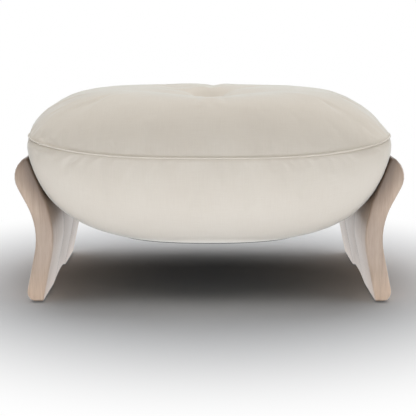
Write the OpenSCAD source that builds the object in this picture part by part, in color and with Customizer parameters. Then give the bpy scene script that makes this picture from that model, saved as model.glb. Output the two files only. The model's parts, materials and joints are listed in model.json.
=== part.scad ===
// Upholstered ottoman: a thick tufted cushion held between two S-curved wooden sides.
// Millimetres. The origin is on the floor under the middle of the ottoman,
// X runs along its width, Y from front (-) to rear (+) and Z up.

/* [Cushion] */
// Width of the cushion at its widest line
cushion_w = 760; // [740:1:776]
// Depth of the cushion at its widest line, front to rear
cushion_d = 594; // [570:1:620]
// Height of the seam above the floor at the middle of the front
seam_z = 312; // [306:1:316]
// How far the widest line lies below the seam
bulge_drop = 11; // [6:1:18]
// How much higher the widest line runs along the two sides
seam_lift = 40; // [24:1:44]
// Rise of the crown above the seam
crown_h = 119; // [100:1:140]
// Drop of the belly below the seam
belly_h = 206; // [195:1:215]
// Squareness of the plan at the widest line, 2 is an ellipse
bulge_square = 6.8; // [4:0.1:8]
// Squareness of the plan towards the top
crown_square = 2.3; // [2:0.1:4]
// Squareness of the plan towards the underside
belly_square = 2; // [2:0.1:3]
// How much the underside bows upwards towards the two sides
belly_bow = 32; // [0:1:40]
// Thickness of the cover with its bonded wadding
cover_t = 4; // [3:0.5:6]

/* [Tuft] */
// Depth of the dimple that the button pulls into the crown
tuft_depth = 26; // [10:1:35]
// Spread of the dimple outside the button
tuft_spread = 30; // [20:1:45]
// Diameter of the covered button
button_dia = 28; // [20:1:30]

/* [Wooden sides] */
// Thickness of the boards
board_t = 37; // [34:0.5:40]
// Half the distance between the outer faces at the narrow waist
waist_x = 358.5; // [356:0.5:362]
// Height of the waist
waist_z = 140; // [130:1:150]
// Radius of the outer face round the waist
waist_r = 155; // [150:1:170]
// Lean of the foot below the waist
foot_lean = 12.5; // [10:0.5:15]
// Lean of the side above the waist
arm_lean = 26.5; // [24:0.5:28]
// Radius of the round shoulder at the top
shoulder_r = 50; // [45:1:55]
// Length of one side at the feet, front to rear
side_len = 464; // [430:1:480]
// How far each end leans outwards over the height of the side
end_flare = 12; // [0:1:20]
// Length of the low arch between the two feet
arch_span = 190; // [150:1:240]
// Rise of the arch
arch_rise = 17; // [8:1:24]
// Radius on the long edges of the outer boards
edge_r = 6; // [3:0.5:8]

/* [Seat frame] */
// Width of the timber frame inside the cushion
frame_w = 600; // [580:1:604]
// Depth of the timber frame
frame_d = 414; // [400:1:418]
// Thickness of its rails
rail_t = 22; // [18:1:26]
// Height of its front and rear rails
rail_h = 54; // [45:1:56]
// Width of the webbing straps
strap_w = 50; // [40:1:60]

/* [Hidden] */
$fn = 48;

// A gap that is too small to see, between pieces that touch
fit = 0.2;
// Half sizes of the cushion
half_w = cushion_w / 2;
half_d = cushion_d / 2;

// Powers of the cushion's profile: how full the sides are and how flat the middle
crown_side = 0.375;
crown_front = 0.376;
crown_rise = 1.107;
belly_side = 0.519;
belly_front = 0.409;
belly_drop = 1.189;
// Powers of the change from the squared plan to the soft ones
crown_blend = 0.708;
belly_blend = 2.32;
// Turn of the profile from the widest line up to the seam, where a pole is at 90 degrees
seam_turn = asin(pow(bulge_drop / (crown_h + bulge_drop), 1 / crown_rise));

// Points round the cushion and round the inner soft pieces
plan_steps = 56;
// How far the points are gathered towards the corners of the plan, in degrees
corner_pull = 8;
// Where the base cloth begins, as a share of the half width
base_width = 0.55;
// Flat spot under the button
tuft_flat = button_dia / 2 + 2;

// The boards' joints, at thirds of the length
board_joint = side_len / 6;
// Top of the glides, where the wood begins
glide_t = 2.5;
glide_w = 16;
glide_len = 84;
// Rounding of the foot's outer and inner edges
foot_outer_r = 21.5;
foot_inner_r = 5;
// Centre of the waist's arcs, and of a rounding of the foot beside the leaning faces
hub = [waist_x + waist_r, waist_z];
function heel(reach, r) = [hub.x - (reach + (r - waist_z) * sin(foot_lean)) / cos(foot_lean), r];
outer_heel = heel(waist_r + foot_outer_r, foot_outer_r);
inner_heel = heel(waist_r + board_t - foot_inner_r, foot_inner_r);
foot_x = outer_heel.x - 0.7;
// The glides stand in the middle of the flat part of each foot
glide_y = (side_len + arch_span) / 4;

// Frame heights
frame_z = 208;
frame_top = frame_z + rail_h;
strap_t = 2.5;
// The side rails carry the upper layer of straps
side_rail_top = frame_top + strap_t + fit;
core_z = side_rail_top + strap_t + fit;

// Bolts that hold the wooden sides to the frame
bolt_z = 235;
bolt_ys = [-110, 0, 110];
bolt_r = 4;
bolt_clear_r = 4.5;
spacer_r = 11;
spot_face_x = 355;
insert_r = 6;
insert_len = 18;

// One point of the squared plan, on a unit half width and depth
function plan_point(angle, power) =
    let (r = pow(pow(abs(cos(angle)), power) + pow(abs(sin(angle)), power), -1 / power))
    [r * cos(angle), r * sin(angle)];

// Blend of the plan's squareness from the widest line to the pole
function blended(power, share, bend) = bulge_square + (power - bulge_square) * pow(share, bend);
function crown_plan(turn, angle) = plan_point(angle, blended(crown_square, turn / 90, crown_blend));

// Rise of the widest line at one point of the plan, which fades away from that line
function lift_at(p, turn) = seam_lift * pow(abs(p.x), 3) * pow(1 - turn / 90, 2);

// Depth of the dimple at a distance from the button's cord
function dimple_at(r) = tuft_depth * exp(-pow(max(0, r - tuft_flat) / tuft_spread, 2));

// A point above the widest line, at a turn up from it, drawn in by an inset
function crown_point(turn, angle, inset) =
    let (p = crown_plan(turn, angle))
    let (x = (half_w - inset) * p.x * pow(cos(turn), crown_side))
    let (y = (half_d - inset) * p.y * pow(cos(turn), crown_front))
    let (sunk = inset * max(0, turn - seam_turn) / (90 - seam_turn) + dimple_at(norm([x, y])))
    let (rise = (crown_h + bulge_drop) * pow(sin(turn), crown_rise))
    [x, y, seam_z - bulge_drop + lift_at(p, turn) + rise - sunk];

// A point below the widest line, at a turn down from it, drawn in by an inset
function belly_point(turn, angle, inset) =
    let (p = plan_point(angle, blended(belly_square, turn / 90, belly_blend)))
    let (x = (half_w - inset) * p.x * pow(cos(turn), belly_side))
    let (y = (half_d - inset) * p.y * pow(cos(turn), belly_front))
    let (raise = (belly_bow * pow(x / half_w, 2) + inset) * turn / 90)
    let (drop = (belly_h - bulge_drop) * pow(sin(turn), belly_drop))
    [x, y, seam_z - bulge_drop + lift_at(p, turn) + raise - drop];

function plan_angles() = [
    for (i = [0:plan_steps - 1])
        let (a = 360 * i / plan_steps)
        a + corner_pull * sin(4 * a)
];
function crown_ring(turn, inset) = [for (a = plan_angles()) crown_point(turn, a, inset)];
function belly_ring(turn, inset) = [for (a = plan_angles()) belly_point(turn, a, inset)];

// The turn at which the crown or the belly has narrowed to a share of the half width
function crown_turn(width) = acos(pow(width, 1 / crown_side));
function belly_turn(width) = acos(pow(width, 1 / belly_side));

// Turns of the rings, from the seam to the dimple's flat spot and from the widest line
// down to the base cloth
tuft_turns = [for (r = [66, 44, 29, tuft_flat]) crown_turn(r / half_w)];
crown_fine = concat([seam_turn], [for (i = [1:9]) crown_turn(cos(7.5 * i))], tuft_turns);
crown_coarse = concat([seam_turn], [for (i = [1:3]) crown_turn(cos(20 * i))], tuft_turns);
belly_fine = [for (i = [0:9]) belly_turn(cos(i * acos(base_width) / 9))];
belly_coarse = [for (i = [0:4]) belly_turn(cos(i * acos(base_width) / 4))];
base_turns = [belly_turn(0.6 * base_width), belly_turn(0.25 * base_width)];

// Faces of a skin over rings of n points each, turned so that they point outwards
// when the rings run from the top down and each ring runs anticlockwise
function band_faces(rings, n, closed) = [
    for (j = [0:rings - (closed ? 1 : 2)], i = [0:n - 1])
        let (a = j * n + i, b = j * n + (i + 1) % n)
        let (c = ((j + 1) % rings) * n + i, d = ((j + 1) % rings) * n + (i + 1) % n)
        each [[a, b, d], [a, d, c]]
];

// A closed ring of rings, such as a tube or an open shell
module loop_skin(rings) {
    points = [for (r = rings, p = r) p];
    polyhedron(points = points, faces = band_faces(len(rings), len(rings[0]), true));
}

// A solid skinned over rings whose two ends are flat. The first half of each ring
// runs up one side and the second half down the other, so the ends close like ladders
module flat_skin(rings) {
    n = len(rings[0]);
    last = (len(rings) - 1) * n;
    first_end = [for (i = [0:n / 2 - 2]) each [[n - 1 - i, n - 2 - i, i + 1], [n - 1 - i, i + 1, i]]];
    last_end = [
        for (i = [0:n / 2 - 2])
            each [[last + i, last + i + 1, last + n - 2 - i], [last + i, last + n - 2 - i, last + n - 1 - i]]
    ];
    faces = concat(band_faces(len(rings), n, false), first_end, last_end);
    polyhedron(points = [for (r = rings, p = r) p], faces = faces);
}

// A solid skinned over rings whose two ends close at poles
module pole_skin(rings, top, bottom) {
    n = len(rings[0]);
    m = len(rings);
    points = concat([for (r = rings, p = r) p], [top, bottom]);
    fans = [
        for (i = [0:n - 1])
            each [[m * n, (i + 1) % n, i], [m * n + 1, (m - 1) * n + i, (m - 1) * n + (i + 1) % n]]
    ];
    polyhedron(points = points, faces = concat(band_faces(m, n, false), fans));
}

function reversed(list) = [for (i = [len(list) - 1:-1:0]) list[i]];
function raised(ring, dz) = [for (p = ring) p + [0, 0, dz]];
function crown_pole(inset) = [0, 0, seam_z + crown_h - inset - tuft_depth];
function belly_pole(inset) = [0, 0, seam_z - belly_h + inset];

// A point in the middle of the cushion at the height of a ring
function pole_at(ring) = [0, 0, ring[0].z];

// Top cover, a crowned shell with its sewn tuft
module cover_top() {
    outer = [for (turn = reversed(crown_fine)) raised(crown_ring(turn, 0), fit * 2)];
    inner = [for (turn = crown_coarse) raised(crown_ring(turn, cover_t), fit * 2)];
    rise = [0, 0, fit * 2];
    color("linen")
    difference() {
        pole_skin(concat(outer, inner), crown_pole(0) + rise, crown_pole(cover_t) + rise);
        cylinder(r = 2, h = seam_z + crown_h);
    }
}

// Lower cover, the drawn-in sides and belly, open at the base and where the bolts pass
module cover_lower() {
    outer = concat([crown_ring(seam_turn, 0)], [for (turn = belly_fine) belly_ring(turn, 0)]);
    inner = [for (turn = reversed(belly_coarse)) belly_ring(turn, cover_t)];
    rings = concat(outer, inner, [crown_ring(seam_turn, cover_t)]);
    color("linen")
    difference() {
        loop_skin([for (ring = rings) raised(ring, -fit * 2)]);
        spacer_holes();
    }
}

// Cloth that closes the base of the lower cover
cloth_t = 1.5;
module base_cloth() {
    turns = concat([belly_turn(base_width - 0.003)], base_turns);
    rings = [for (turn = turns) belly_ring(turn, 0)];
    upper = [for (ring = reversed(rings)) raised(ring, cloth_t)];
    color("gray")
    pole_skin(concat(upper, rings), belly_pole(0) + [0, 0, cloth_t], belly_pole(0));
}

// Piping between the two covers: a bead on a thin flange
bead_r = 1.3;
module seam_piping() {
    flange = -cover_t + fit;
    neck = bead_r / 3;
    bead = [for (a = [-105:70:105]) [neck + bead_r * (1 + cos(a)), bead_r * sin(a)]];
    section = concat([[flange, -fit], [neck, -fit]], bead, [[neck, fit], [flange, fit]]);
    color("linen")
    loop_skin([
        for (s = section)
            [
                for (a = plan_angles())
                    let (p = crown_plan(seam_turn, a), out = crown_point(seam_turn, a, 0))
                    out + [s.x * p.x, s.x * p.y, s.y]
            ]
    ]);
}

// Room between the cover and the foam
foam_inset = cover_t + 1;

// Upper foam on the webbing, with the bore for the tuft's cord
module foam_core() {
    crown = [for (turn = reversed(crown_coarse)) crown_ring(turn, foam_inset)];
    below = [for (i = [0:2]) belly_ring(belly_coarse[i], foam_inset)];
    color("khaki")
    difference() {
        pole_skin(concat(crown, below), crown_pole(foam_inset), pole_at(below[2]));
        translate([-half_w, -half_d, 0])
        cube([cushion_w, cushion_d, core_z]);
        cylinder(r = 2.5, h = seam_z + crown_h);
    }
}

// Lower foam, a tray round and under the frame
module foam_belly() {
    sides = [for (i = [1:4]) belly_ring(belly_coarse[i], foam_inset)];
    base = [for (turn = base_turns) belly_ring(turn, foam_inset)];
    color("khaki")
    difference() {
        pole_skin(concat(sides, base), pole_at(sides[0]), belly_pole(foam_inset));
        translate([-half_w, -half_d, core_z - fit])
        cube([cushion_w, cushion_d, crown_h + belly_h]);
        translate([-frame_w / 2 - fit, -frame_d / 2 - fit, frame_z - fit])
        cube([frame_w + 2 * fit, frame_d + 2 * fit, belly_h]);
        spacer_holes();
    }
}

// Points of an arc, both ends included
function arc(centre, r, from, to, steps) = [
    for (i = [0:steps])
        let (a = from + (to - from) * i / steps)
        centre + r * [cos(a), sin(a)]
];

// Rounding of the upper tip, and the angle round the shoulder where it begins
tip_r = 4.6;
tip_turn = 43;
// Height of the straight part between the waist and the shoulder
arm_rise = 34;
// Room between the wood and the side of the cushion
cushion_gap = 1.2;

// Outline of the right-hand side in X and Z, anticlockwise: up the outer face from the
// sole, round the tip and down the inner face, with as many points on each
function side_outline() =
    let (high = hub + waist_r * [-cos(arm_lean), sin(arm_lean)])
    let (arm_end = high + arm_rise * [tan(arm_lean), 1])
    let (shoulder = arm_end + shoulder_r * [-cos(arm_lean), sin(arm_lean)])
    let (tip = shoulder + (shoulder_r - tip_r) * [cos(tip_turn), sin(tip_turn)])
    let (outer = concat(
        arc(outer_heel, foot_outer_r, -90, foot_lean, 6),
        arc(hub, waist_r, 180 + foot_lean, 180 - arm_lean, 8),
        arc(shoulder, shoulder_r, -arm_lean, tip_turn, 6),
        arc(tip, tip_r, tip_turn + 30, tip_turn + 60, 1)
    ))
    let (inner = concat(
        arc(inner_heel, foot_inner_r, 270, 180 + foot_lean, 6),
        arc(hub, waist_r + board_t, 180 + foot_lean, 162, 8),
        [for (i = [0:6]) cushion_side(38 - 20 * i / 6) + [cushion_gap, 0]],
        arc(tip, tip_r, tip_turn + 120, tip_turn + 90, 1)
    ))
    concat(outer, reversed(inner));

// The side of the cushion in X and Z, by the turn down from the widest line
function cushion_side(turn) = let (p = belly_point(turn, 0, 0)) [p.x, p.z];

// Half the length of a side at a height
function half_len(z) = side_len / 2 + end_flare * z / seam_z;

// The outline drawn in along its own normals
function drawn_in(line, inset) = [
    for (i = [0:len(line) - 1])
        let (along = line[(i + 1) % len(line)] - line[(i + len(line) - 1) % len(line)])
        line[i] + inset * [-along.y, along.x] / norm(along)
];

// One section of a board: the outline at a distance in from the side's end
function end_ring(line, inset, back) = [for (p = drawn_in(line, inset)) [p.x, back - half_len(p.y), p.y]];
function flat_ring(line, inset, y) = [for (p = drawn_in(line, inset)) [p.x, y, p.y]];

// Rounded end rings of an outer board
function rounded_end(line) = [
    for (a = [0:30:90]) end_ring(line, edge_r * (1 - sin(a)), edge_r * (1 - cos(a)))
];

// Chamfered rings at a glued joint
joint_chamfer = 0.5;
function joint_rings(line, y, toward) = [
    flat_ring(line, 0, y + toward * joint_chamfer),
    flat_ring(line, joint_chamfer, y)
];

// The arch, the flat soles and the bores that every board of a side shares
module side_cuts() {
    arch_r = (pow(arch_span / 2, 2) + pow(arch_rise, 2)) / (2 * arch_rise);
    translate([waist_x - board_t * 2, 0, glide_t + arch_rise - arch_r])
    rotate([0, 90, 0])
    cylinder(r = arch_r, h = board_t * 4, $fn = 240);
    translate([waist_x - board_t * 2, -side_len, -1])
    cube([board_t * 4, side_len * 2, glide_t + 1]);
    at_bolts() {
        translate([spot_face_x - 40, 0, 0])
        rotate([0, 90, 0])
        cylinder(r = spacer_r + fit * 2, h = 40);
        translate([spot_face_x - 1, 0, 0])
        rotate([0, 90, 0])
        cylinder(r = insert_r, h = insert_len + 1 + fit);
        translate([spot_face_x, 0, 0])
        rotate([0, 90, 0])
        cylinder(r = bolt_clear_r, h = insert_len + 6);
    }
    at_dowels()
    rotate([90, 0, 0])
    cylinder(r = dowel_r, h = dowel_len + 1, center = true);
    for (s = [-1, 1])
        translate([0, s * glide_y, 0])
        at_glide_screws()
        cylinder(r = 1.5, h = glide_t + 14);
}

// A board skinned over its rings, with the cuts
module board(rings) {
    color("tan")
    difference() {
        flat_skin(rings);
        side_cuts();
    }
}

module outer_board() {
    line = side_outline();
    board(concat(rounded_end(line), joint_rings(line, -board_joint, -1)));
}

module middle_board() {
    line = side_outline();
    board(concat(reversed(joint_rings(line, -board_joint, 1)), joint_rings(line, board_joint, -1)));
}

module side_board_right_front() outer_board();
module side_board_right_middle() middle_board();
module side_board_right_rear() mirror([0, 1, 0]) outer_board();
module side_board_left_front() mirror([1, 0, 0]) outer_board();
module side_board_left_middle() mirror([1, 0, 0]) middle_board();
module side_board_left_rear() mirror([1, 0, 0]) mirror([0, 1, 0]) outer_board();

// Both sides from the right-hand one
module on_both_sides() {
    children();
    mirror([1, 0, 0])
    children();
}

// Dowels that line up the glued boards
dowel_r = 4;
dowel_len = 36;
dowel_spots = [[341, 118], [350, 190], [371, 240]];
module at_dowels() {
    for (s = [-1, 1], p = dowel_spots)
        translate([p.x, s * board_joint, p.y])
        children();
}
module board_dowels() {
    color("burlywood")
    on_both_sides()
    at_dowels()
    rotate([90, 0, 0])
    cylinder(r = dowel_r - fit / 2, h = dowel_len, center = true);
}

// Nylon glide under one foot, a strip with round ends
module glide() {
    color("black")
    difference() {
        union() {
            translate([foot_x - glide_w / 2, -(glide_len - glide_w) / 2, 0])
            cube([glide_w, glide_len - glide_w, glide_t - fit / 4]);
            for (s = [-1, 1])
                translate([foot_x, s * (glide_len - glide_w) / 2, 0])
                cylinder(r = glide_w / 2, h = glide_t - fit / 4);
        }
        at_glide_screws()
        translate([0, 0, -1])
        cylinder(r = 3.4, h = 3);
        at_glide_screws()
        cylinder(r = 1.7, h = glide_t * 2);
    }
}
module at_glide_screws() {
    for (s = [-1, 1])
        translate([foot_x, s * glide_len / 4, 0])
        children();
}
module glide_right_front() translate([0, -glide_y, 0]) glide();
module glide_right_rear() translate([0, glide_y, 0]) glide();
module glide_left_front() mirror([1, 0, 0]) glide_right_front();
module glide_left_rear() mirror([1, 0, 0]) glide_right_rear();

// Screws that hold the glides, sunk below their faces
module glide_screws() {
    color("silver")
    on_both_sides()
    for (s = [-1, 1])
        translate([0, s * glide_y, 0])
        at_glide_screws() {
            translate([0, 0, 1])
            cylinder(r = 3.2, h = 1);
            translate([0, 0, 2])
            cylinder(r = 1.4, h = 13);
        }
}

// Covered button, a low dome with a flat back
module tuft_button() {
    dome_h = 7;
    dome_r = (pow(button_dia / 2, 2) + pow(dome_h, 2)) / (2 * dome_h);
    color("linen")
    translate([0, 0, crown_pole(0).z + 3 * fit])
    difference() {
        translate([0, 0, dome_h - dome_r])
        sphere(r = dome_r, $fn = 96);
        translate([0, 0, -2 * dome_r])
        cylinder(r = 2 * dome_r, h = 2 * dome_r);
        cylinder(r = 1.6, h = 4);
    }
}

// Cord from the button down to its knot under the anchor
cord_r = 1.5;
knot_r = 3.2;
anchor_t = 3;
knot_z = frame_top - fit - anchor_t - knot_r;
module tuft_cord() {
    color("white")
    union() {
        translate([0, 0, knot_z])
        cylinder(r = cord_r, h = crown_pole(0).z + 3 * fit + 3.5 - knot_z);
        translate([0, 0, knot_z])
        sphere(r = knot_r);
    }
}

// Disc that spreads the cord's pull under the straps
module tuft_anchor() {
    color("dimgray")
    translate([0, 0, frame_top - fit - anchor_t])
    difference() {
        cylinder(r = 18, h = anchor_t);
        translate([0, 0, -1])
        cylinder(r = 1.7, h = anchor_t + 2);
    }
}

// Front or rear rail of the frame, between the side rails
module long_rail(y) {
    color("burlywood")
    difference() {
        translate([-frame_w / 2 + rail_t + fit / 2, y, frame_z])
        cube([frame_w - 2 * rail_t - fit, rail_t, rail_h]);
        on_both_sides()
        at_frame_screws()
        translate([0, 0, -screw_len - 1])
        cylinder(r = screw_r + fit / 2, h = screw_len + 1);
    }
}
module frame_rail_front() long_rail(-frame_d / 2);
module frame_rail_rear() long_rail(frame_d / 2 - rail_t);

// Side rail, bored for the bolts and the frame screws
module frame_rail_right() {
    color("burlywood")
    difference() {
        translate([frame_w / 2 - rail_t, -frame_d / 2, frame_z])
        cube([rail_t, frame_d, side_rail_top - frame_z]);
        at_bolts()
        translate([frame_w / 2 - rail_t - 1, 0, 0])
        rotate([0, 90, 0])
        cylinder(r = bolt_clear_r, h = rail_t + 2);
        at_frame_screws() {
            translate([0, 0, -screw_len])
            cylinder(r = screw_r + fit / 2, h = screw_len);
            translate([0, 0, -head_t])
            cylinder(r = head_r + fit / 2, h = head_t + 1);
        }
    }
}
module frame_rail_left() mirror([1, 0, 0]) frame_rail_right();

// Screws through the side rails into the ends of the long rails, heads sunk flush
screw_r = 2.2;
screw_len = 60;
head_r = 4.5;
head_t = 3;
module at_frame_screws() {
    for (s = [-1, 1], z = [16, 38])
        translate([frame_w / 2, s * (frame_d - rail_t) / 2, frame_z + z])
        rotate([0, 90, 0])
        children();
}
module frame_screws() {
    color("silver")
    on_both_sides()
    at_frame_screws() {
        translate([0, 0, -screw_len])
        cylinder(r = screw_r, h = screw_len - head_t + fit);
        translate([0, 0, -head_t])
        cylinder(r = head_r, h = head_t - fit);
    }
}

// Bearer between the long rails, under the webbing
bearer_x = 150;
bearer_h = 30;
module cross_rail_right() {
    color("burlywood")
    translate([bearer_x - rail_t / 2, -frame_d / 2 + rail_t + fit / 2, frame_z])
    cube([rail_t, frame_d - 2 * rail_t - fit, bearer_h]);
}
module cross_rail_left() mirror([1, 0, 0]) cross_rail_right();

// Glued corner block
block_leg = 54;
module corner_block_right_rear() {
    inner_x = frame_w / 2 - rail_t - fit;
    inner_y = frame_d / 2 - rail_t - fit;
    color("burlywood")
    translate([inner_x, inner_y, frame_z])
    linear_extrude(height = rail_h - 8)
    polygon([[0, 0], [-block_leg, 0], [-block_leg, -8], [-8, -block_leg], [0, -block_leg]]);
}
module corner_block_right_front() mirror([0, 1, 0]) corner_block_right_rear();
module corner_block_left_rear() mirror([1, 0, 0]) corner_block_right_rear();
module corner_block_left_front() mirror([1, 0, 0]) corner_block_right_front();

// Webbing straps: a layer from front to rear, and one along the width on top
across_xs = [-220, -110, 0, 110, 220];
along_ys = [-120, 0, 120];
module straps_across() {
    color("saddlebrown")
    difference() {
        for (x = across_xs)
            translate([x - strap_w / 2, -frame_d / 2 + 2, frame_top])
            cube([strap_w, frame_d - 4, strap_t]);
        cylinder(r = 2.5, h = core_z);
    }
}
module straps_along() {
    color("saddlebrown")
    difference() {
        for (y = along_ys)
            translate([-frame_w / 2 + 2, y - strap_w / 2, side_rail_top])
            cube([frame_w - 4, strap_w, strap_t]);
        cylinder(r = 2.5, h = core_z);
    }
}

// Places of the bolts on the right-hand side, which run along X
module at_bolts() {
    for (y = bolt_ys)
        translate([0, y, bolt_z])
        children();
}
module spacer_holes() {
    on_both_sides()
    at_bolts()
    translate([frame_w / 2 - 1, 0, 0])
    rotate([0, 90, 0])
    cylinder(r = spacer_r + fit, h = 90);
}

// Hexagon bolts from inside the frame into the wooden sides
module side_bolts() {
    head_x = frame_w / 2 - rail_t - 1.6;
    color("silver")
    on_both_sides()
    at_bolts()
    rotate([0, 90, 0]) {
        translate([0, 0, head_x - 5.5])
        cylinder(r = 7.5, h = 5.5, $fn = 6);
        translate([0, 0, head_x])
        cylinder(r = bolt_r, h = spot_face_x + insert_len - 2 - head_x);
    }
}
module bolt_washers() {
    color("silver")
    on_both_sides()
    at_bolts()
    rotate([0, 90, 0])
    translate([0, 0, frame_w / 2 - rail_t - 1.6])
    difference() {
        cylinder(r = 12, h = 1.6);
        translate([0, 0, -1])
        cylinder(r = bolt_clear_r, h = 4);
    }
}

// Tubes that keep the bolts from crushing the foam
module bolt_spacers() {
    color("gray")
    on_both_sides()
    at_bolts()
    rotate([0, 90, 0])
    translate([0, 0, frame_w / 2])
    difference() {
        cylinder(r = spacer_r, h = spot_face_x - frame_w / 2);
        translate([0, 0, -1])
        cylinder(r = bolt_clear_r, h = 60);
    }
}

// Threaded inserts in the boards
module bolt_inserts() {
    color("goldenrod")
    on_both_sides()
    at_bolts()
    rotate([0, 90, 0])
    translate([0, 0, spot_face_x])
    difference() {
        cylinder(r = insert_r - fit / 4, h = insert_len);
        translate([0, 0, -1])
        cylinder(r = bolt_r + fit / 4, h = insert_len + 2);
    }
}

side_board_left_front();
side_board_left_middle();
side_board_left_rear();
side_board_right_front();
side_board_right_middle();
side_board_right_rear();
board_dowels();
glide_left_front();
glide_left_rear();
glide_right_front();
glide_right_rear();
glide_screws();
cover_top();
cover_lower();
base_cloth();
seam_piping();
foam_core();
foam_belly();
tuft_button();
tuft_cord();
tuft_anchor();
frame_rail_front();
frame_rail_rear();
frame_rail_left();
frame_rail_right();
cross_rail_left();
cross_rail_right();
corner_block_left_front();
corner_block_left_rear();
corner_block_right_front();
corner_block_right_rear();
frame_screws();
straps_across();
straps_along();
side_bolts();
bolt_washers();
bolt_spacers();
bolt_inserts();
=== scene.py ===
"""Looks of an upholstered ottoman: a tufted linen cushion between two limed wooden sides.

Metres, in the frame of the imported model: the floor is z = 0, X runs along the width,
Y from front (-) to rear (+) and Z up.
"""

from __future__ import annotations

import json
import logging
import math
from collections.abc import Callable, Iterator
from contextlib import contextmanager
from dataclasses import dataclass, field
from enum import Enum
from functools import partial
from typing import Any

import bmesh
import bpy
import numpy as np
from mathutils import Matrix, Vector
from mathutils.bvhtree import BVHTree

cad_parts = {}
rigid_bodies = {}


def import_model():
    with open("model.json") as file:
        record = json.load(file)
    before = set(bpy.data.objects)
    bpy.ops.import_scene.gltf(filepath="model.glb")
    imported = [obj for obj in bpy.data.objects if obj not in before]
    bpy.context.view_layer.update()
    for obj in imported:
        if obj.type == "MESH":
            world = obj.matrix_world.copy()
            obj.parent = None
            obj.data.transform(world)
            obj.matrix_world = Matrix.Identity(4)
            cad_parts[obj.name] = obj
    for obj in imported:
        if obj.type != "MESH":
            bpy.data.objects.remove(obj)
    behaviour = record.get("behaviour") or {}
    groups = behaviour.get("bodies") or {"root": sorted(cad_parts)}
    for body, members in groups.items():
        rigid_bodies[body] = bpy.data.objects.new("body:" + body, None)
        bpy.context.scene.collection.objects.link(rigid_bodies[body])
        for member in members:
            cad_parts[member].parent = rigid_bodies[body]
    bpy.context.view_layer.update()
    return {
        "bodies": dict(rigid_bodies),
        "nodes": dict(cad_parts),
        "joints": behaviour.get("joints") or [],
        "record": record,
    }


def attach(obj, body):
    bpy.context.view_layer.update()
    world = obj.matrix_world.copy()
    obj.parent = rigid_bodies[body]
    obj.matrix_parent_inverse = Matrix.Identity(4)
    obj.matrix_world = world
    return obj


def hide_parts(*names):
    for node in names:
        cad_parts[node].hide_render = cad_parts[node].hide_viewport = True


LOG = logging.getLogger("ottoman")

Colour = tuple[float, float, float, float]
Stops = tuple[tuple[float, str], ...]
Node = bpy.types.Node
Socket = bpy.types.NodeSocket
Adder = Callable[..., Node]

BODY = "root"
MM = 0.001
TINY = 1e-12
WHITE: Colour = (1.0, 1.0, 1.0, 1.0)

# Noise seldom leaves this range.
NOISE_RANGE = (0.3, 0.7)

# Settings of nodes that are used often.
ABSOLUTE = {"operation": "ABSOLUTE"}
MAXIMUM = {"operation": "MAXIMUM"}
MULTIPLY = {"operation": "MULTIPLY"}
MULTIPLY_ADD = {"operation": "MULTIPLY_ADD"}
SUBTRACT = {"operation": "SUBTRACT"}
BLEND = {"data_type": "FLOAT"}
TINT = {"data_type": "RGBA", "blend_type": "MULTIPLY"}
EASED = {"interpolation_type": "SMOOTHSTEP"}


# Shared helpers


def linear_colour(hex_code: str) -> Colour:
    """Turns an sRGB hex colour to the linear colour that shaders take.

    Args:
        hex_code: Six hex digits.

    Returns:
        Linear red, green, blue and an alpha of one.
    """
    channels = []
    for place in (0, 2, 4):
        value = int(hex_code[place : place + 2], 16) / 255
        low = value <= 0.04045
        channels.append(value / 12.92 if low else ((value + 0.055) / 1.055) ** 2.4)
    return channels[0], channels[1], channels[2], 1.0


def add_node(
    tree: bpy.types.NodeTree,
    kind: str,
    settings: dict[str, Any] | None = None,
    values: dict[int | str, Any] | None = None,
    links: dict[int | str, Node | Socket] | None = None,
    stops: Stops = (),
) -> Node:
    """Adds a node with its settings, input values, links and colour stops.

    Args:
        tree: The tree that takes the node.
        kind: The node's type name.
        settings: Properties of the node itself.
        values: Input sockets' values by name or number.
        links: What drives an input: a socket, or a node whose first live output is meant.
        stops: A colour ramp's places from 0 to 1 with their sRGB hex colours.

    Returns:
        The new node.
    """
    node = tree.nodes.new(kind)
    for name, value in (settings or {}).items():
        setattr(node, name, value)
    for name, value in (values or {}).items():
        node.inputs[name].default_value = value
    for name, source in (links or {}).items():
        if isinstance(source, Node):
            source = next(output for output in source.outputs if output.enabled)
        tree.links.new(source, node.inputs[name])
    for number, (place, code) in enumerate(stops):
        elements = node.color_ramp.elements
        stop = elements[number] if number < len(elements) else elements.new(place)
        stop.position = place
        stop.color = linear_colour(code)
    return node


def span(low: float, high: float, start: float = 0.0, end: float = 1.0) -> dict[int, float]:
    """Gives a range's input values: from low to high, it runs from start to end."""
    return {1: low, 2: high, 3: start, 4: end}


def new_material(name: str) -> tuple[bpy.types.Material, Adder]:
    """Makes an empty material and gives it with the function that adds its nodes."""
    material = bpy.data.materials.new(name)
    material.use_nodes = True
    material.node_tree.nodes.clear()
    return material, partial(add_node, material.node_tree)


def streaks(add: Adder, place: Node | Socket, scale: tuple[float, ...], looks: dict[str, float]) -> Node:
    """Draws noise that is stretched along some axes, as grain and slubs are.

    Args:
        add: Adds a node to the material.
        place: Coordinates in metres.
        scale: Marks in a metre along X, Y and Z.
        looks: The noise's own inputs.

    Returns:
        The noise.
    """
    stretched = add("ShaderNodeMapping", values={"Scale": scale}, links={"Vector": place})
    return add("ShaderNodeTexNoise", values={"Scale": 1.0, **looks}, links={"Vector": stretched})


def finish_surface(
    add: Adder,
    values: dict[str, Any],
    links: dict[str, Node | Socket],
    relief: tuple[Node | Socket, float, float] | None = None,
) -> None:
    """Closes a material with its relief and one shader.

    Args:
        add: Adds a node to the material.
        values: Constant sockets, such as IOR and sheen.
        links: Sockets that a pattern drives.
        relief: Height, strength and depth of the relief, where there is one.
    """
    if relief:
        height, strength, depth = relief
        size = {"Strength": strength, "Distance": depth}
        bump = add("ShaderNodeBump", values=size, links={"Height": height})
        links = {**links, "Normal": bump}
    shader = add("ShaderNodeBsdfPrincipled", values=values, links=links)
    add("ShaderNodeOutputMaterial", links={"Surface": shader})


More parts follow.
